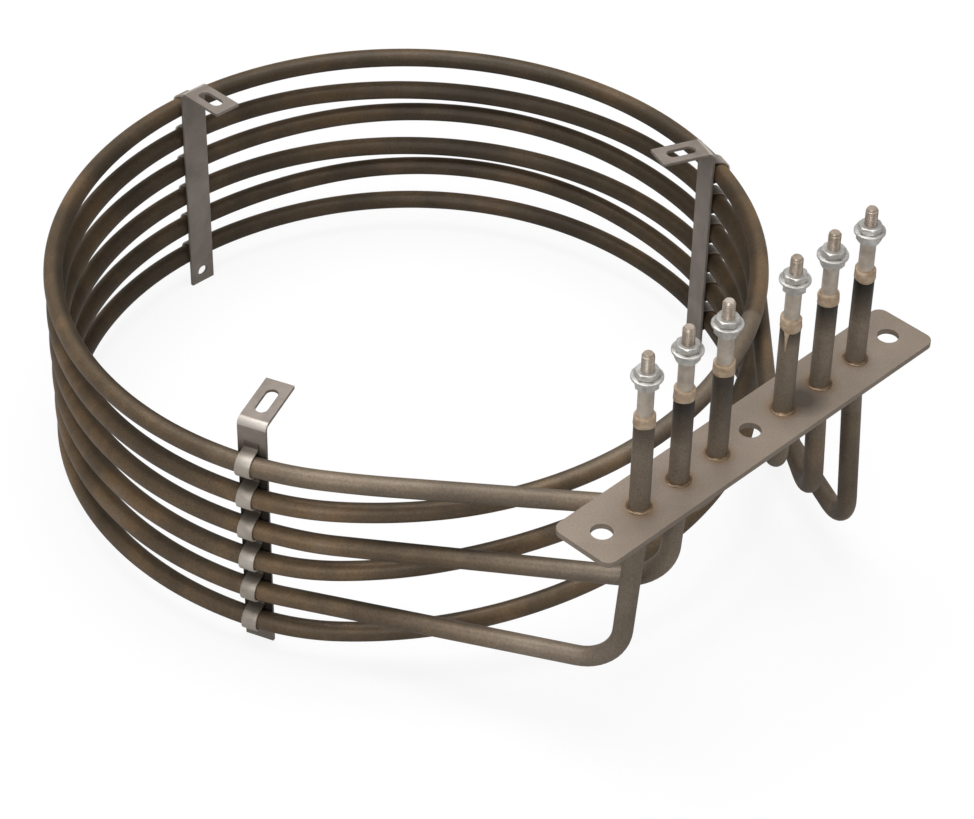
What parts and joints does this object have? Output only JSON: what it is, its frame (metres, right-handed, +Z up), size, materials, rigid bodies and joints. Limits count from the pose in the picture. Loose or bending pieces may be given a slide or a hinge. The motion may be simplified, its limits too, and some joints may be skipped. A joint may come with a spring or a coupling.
{
  "type": "tubular heating element",
  "caption": "Coiled tubular heating element for a circulating fan: sheathed heaters on a flat terminal flange, wound in level turns and held by slotted brackets.",
  "frame": {"origin": "centre of the flange's middle hole, on its top face", "axes": "+Z up along the terminals and the coil's axis, +Y from the flange to the coil, X along the flange"},
  "size_m": [0.2435, 0.2872, 0.1529],
  "materials": {
    "sheath_steel": "heat-darkened stainless tube, grey-brown with warm straw patches",
    "flange_steel": "blasted and heat-tinted stainless plate, warm grey, fine grain",
    "braze": "dull brown braze fillet with a heat tint",
    "bracket_steel": "dull grey stainless strip",
    "strip_steel": "bright thin stainless strip",
    "magnesia": "compacted white magnesia powder",
    "resistance_alloy": "wound nickel-chromium wire",
    "sealing_compound": "tan silicone sealing compound",
    "steatite": "beige fired ceramic, slightly glossy",
    "pin_steel": "dull nickel-plated steel",
    "zinc": "zinc-plated steel"
  },
  "bodies": {
    "root": {"flange_plate": "flange_steel", "sheath_1": "sheath_steel", "filling_1": "magnesia", "resistance_wire_1": "resistance_alloy", "sheath_2": "sheath_steel", "filling_2": "magnesia", "resistance_wire_2": "resistance_alloy", "sheath_3": "sheath_steel", "filling_3": "magnesia", "resistance_wire_3": "resistance_alloy", "braze_ring_1": "braze", "seal_1": "sealing_compound", "ceramic_bush_1": "steatite", "terminal_pin_1": "pin_steel", "braze_ring_2": "braze", "seal_2": "sealing_compound", "ceramic_bush_2": "steatite", "terminal_pin_2": "pin_steel", "braze_ring_3": "braze", "seal_3": "sealing_compound", "ceramic_bush_3": "steatite", "terminal_pin_3": "pin_steel", "braze_ring_4": "braze", "seal_4": "sealing_compound", "ceramic_bush_4": "steatite", "terminal_pin_4": "pin_steel", "braze_ring_5": "braze", "seal_5": "sealing_compound", "ceramic_bush_5": "steatite", "terminal_pin_5": "pin_steel", "braze_ring_6": "braze", "seal_6": "sealing_compound", "ceramic_bush_6": "steatite", "terminal_pin_6": "pin_steel", "lower_nuts": "zinc", "washers": "zinc", "upper_nuts": "zinc", "bracket_front": "bracket_steel", "retaining_strip_front": "strip_steel", "bracket_left": "bracket_steel", "retaining_strip_left": "strip_steel", "bracket_right": "bracket_steel", "retaining_strip_right": "strip_steel"}
  },
  "joints": []
}
